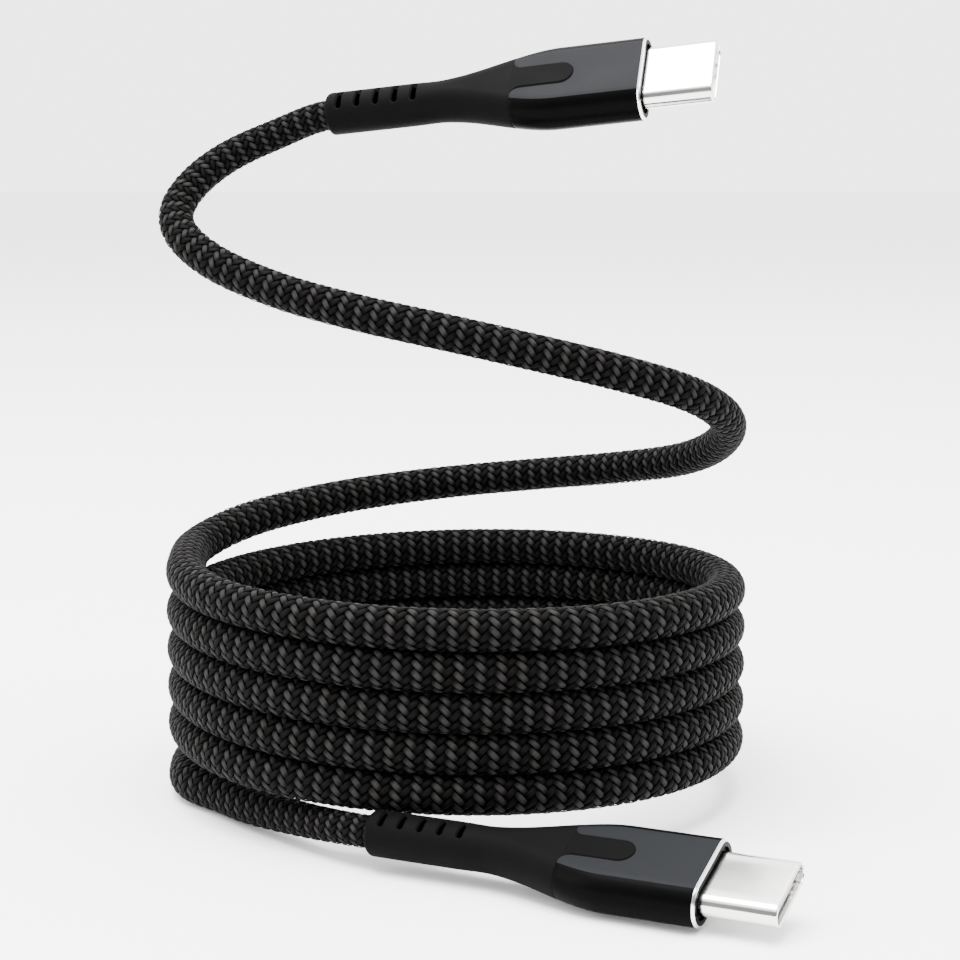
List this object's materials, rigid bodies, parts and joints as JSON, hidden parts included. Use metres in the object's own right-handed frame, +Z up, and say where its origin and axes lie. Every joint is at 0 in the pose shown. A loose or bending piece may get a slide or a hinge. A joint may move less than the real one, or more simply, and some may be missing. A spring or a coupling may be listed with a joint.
{
  "type": "charging cable",
  "caption": "Coiled braided charging cable with a slotted strain-relief boot and a USB-C plug at each end.",
  "frame": {"origin": "on the surface the cable lies on, at the axis of the coil", "axes": "+Z up along the coil's axis; +X to the right, the way both plugs point; -Y to the front, where the lower plug leaves the coil"},
  "size_m": [0.0662, 0.0891, 0.0831],
  "materials": {
    "braid": "woven two-tone nylon braid",
    "boot_rubber": "soft-touch matte",
    "inner_jacket": "smooth",
    "crimp_brass": "tin plated",
    "wire_insulation": "smooth",
    "inner_mould": "as moulded",
    "housing": "satin anodised look with polished sides",
    "nose_insert": "matte",
    "shell_steel": "polished",
    "contact_carrier": "matte",
    "contact_gold": "gold plated",
    "latch_steel": "satin",
    "circuit_card": "solder resist",
    "chip": "matte",
    "card_parts": "ceramic"
  },
  "bodies": {
    "cord": {"cord_floor_turn": "braid", "cord_coil": "braid", "cord_riser": "braid", "upper_boot": "boot_rubber", "upper_braid_end": "braid", "upper_cable_core": "inner_jacket", "lower_boot": "boot_rubber", "lower_braid_end": "braid", "lower_cable_core": "inner_jacket"},
    "upper_plug": {"upper_ferrule": "crimp_brass", "upper_wires": "wire_insulation", "upper_inner_mould": "inner_mould", "upper_housing": "housing", "upper_nose_insert": "nose_insert", "upper_shell": "shell_steel", "upper_contact_carrier": "contact_carrier", "upper_contacts_top": "contact_gold", "upper_contacts_bottom": "contact_gold", "upper_latch_plate": "latch_steel", "upper_ground_springs": "latch_steel", "upper_paddle_card": "circuit_card", "upper_marker_chip": "chip", "upper_card_parts": "card_parts"},
    "lower_plug": {"lower_ferrule": "crimp_brass", "lower_wires": "wire_insulation", "lower_inner_mould": "inner_mould", "lower_housing": "housing", "lower_nose_insert": "nose_insert", "lower_shell": "shell_steel", "lower_contact_carrier": "contact_carrier", "lower_contacts_top": "contact_gold", "lower_contacts_bottom": "contact_gold", "lower_latch_plate": "latch_steel", "lower_ground_springs": "latch_steel", "lower_paddle_card": "circuit_card", "lower_marker_chip": "chip", "lower_card_parts": "card_parts"}
  },
  "joints": [
    {"name": "upper_plug_flex", "type": "hinge", "parent": "cord", "child": "upper_plug", "pos_m": [-0.00736, 0.00412, 0.07581], "axis": [0.1359, 0.6788, 0.7217], "range_deg": [-25, 25], "stiffness_Nm_per_rad": 0.02, "deforming": ["upper_boot", "upper_cable_core"]},
    {"name": "lower_plug_flex", "type": "hinge", "parent": "cord", "child": "lower_plug", "pos_m": [-0.00176, -0.03498, 0.00372], "axis": [0, 0, 1], "range_deg": [-25, 10], "stiffness_Nm_per_rad": 0.02, "deforming": ["lower_boot", "lower_cable_core"]}
  ]
}
